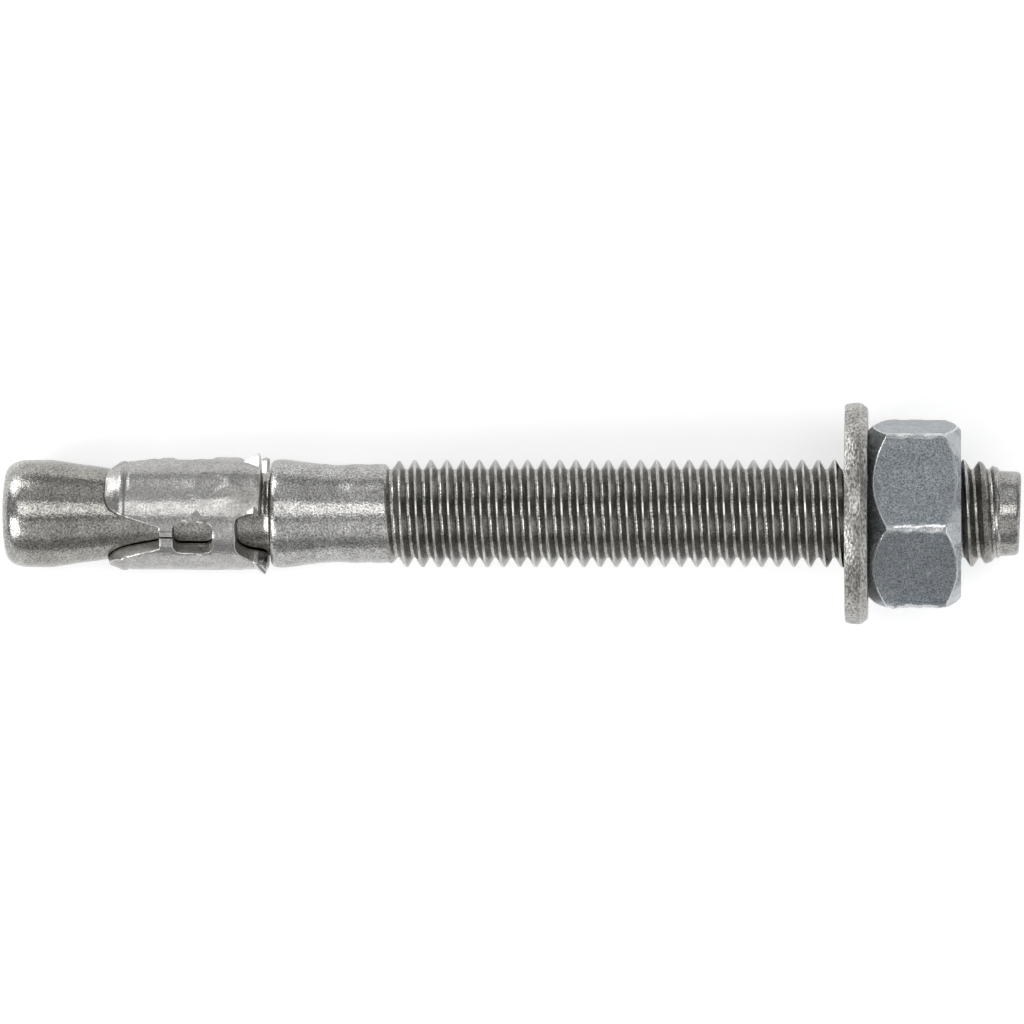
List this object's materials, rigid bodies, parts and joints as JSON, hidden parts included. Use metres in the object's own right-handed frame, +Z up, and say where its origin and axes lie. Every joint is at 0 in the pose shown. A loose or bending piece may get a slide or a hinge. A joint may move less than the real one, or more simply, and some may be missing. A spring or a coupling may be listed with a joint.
{
  "type": "anchor bolt",
  "caption": "Wedge anchor bolt: threaded steel stud with a tapered tip and neck, a rolled expansion clip, a flat washer and a hexagon nut.",
  "frame": {"origin": "centre of the bottom of the bolt's box, on the surface that it lies on", "axes": "+X along the length from the tip towards the nut end, +Z up; the bolt's own axis rises from the tip at about four degrees, because it lies on the washer's rim and the tip"},
  "size_m": [0.1106, 0.024, 0.0241],
  "materials": {
    "stud_steel": "dull plated steel, mottled and grainy",
    "clip_steel": "satin plated sheet steel",
    "washer_steel": "dull plated steel with a rough sheared rim",
    "nut_steel": "satin plated steel, fine mottle"
  },
  "bodies": {
    "stud_body": {"stud": "stud_steel"},
    "clip_body": {"expansion_clip": "clip_steel"},
    "washer_body": {"washer": "washer_steel"},
    "nut_body": {"hex_nut": "nut_steel"}
  },
  "joints": [
    {"name": "clip_spin", "type": "hinge", "parent": "stud_body", "child": "clip_body", "pos_m": [-0.03542, 0, 0.00705], "axis": [0.9976, 0, 0.0689], "continuous": true},
    {"name": "washer_feed", "type": "slide", "parent": "stud_body", "child": "washer_body", "axis": [0.9976, 0, 0.0689], "range_m": [-0.05119, 0.01444]},
    {"name": "nut_turn", "type": "hinge", "parent": "washer_body", "child": "nut_body", "pos_m": [0.03845, 0, 0.01215], "axis": [0.9976, 0, 0.0689], "range_deg": [-10530, 2970]}
  ],
  "couplings": [
    {"joint": "washer_feed", "follows": "nut_turn", "m_per_rad": 0.00027852}
  ]
}
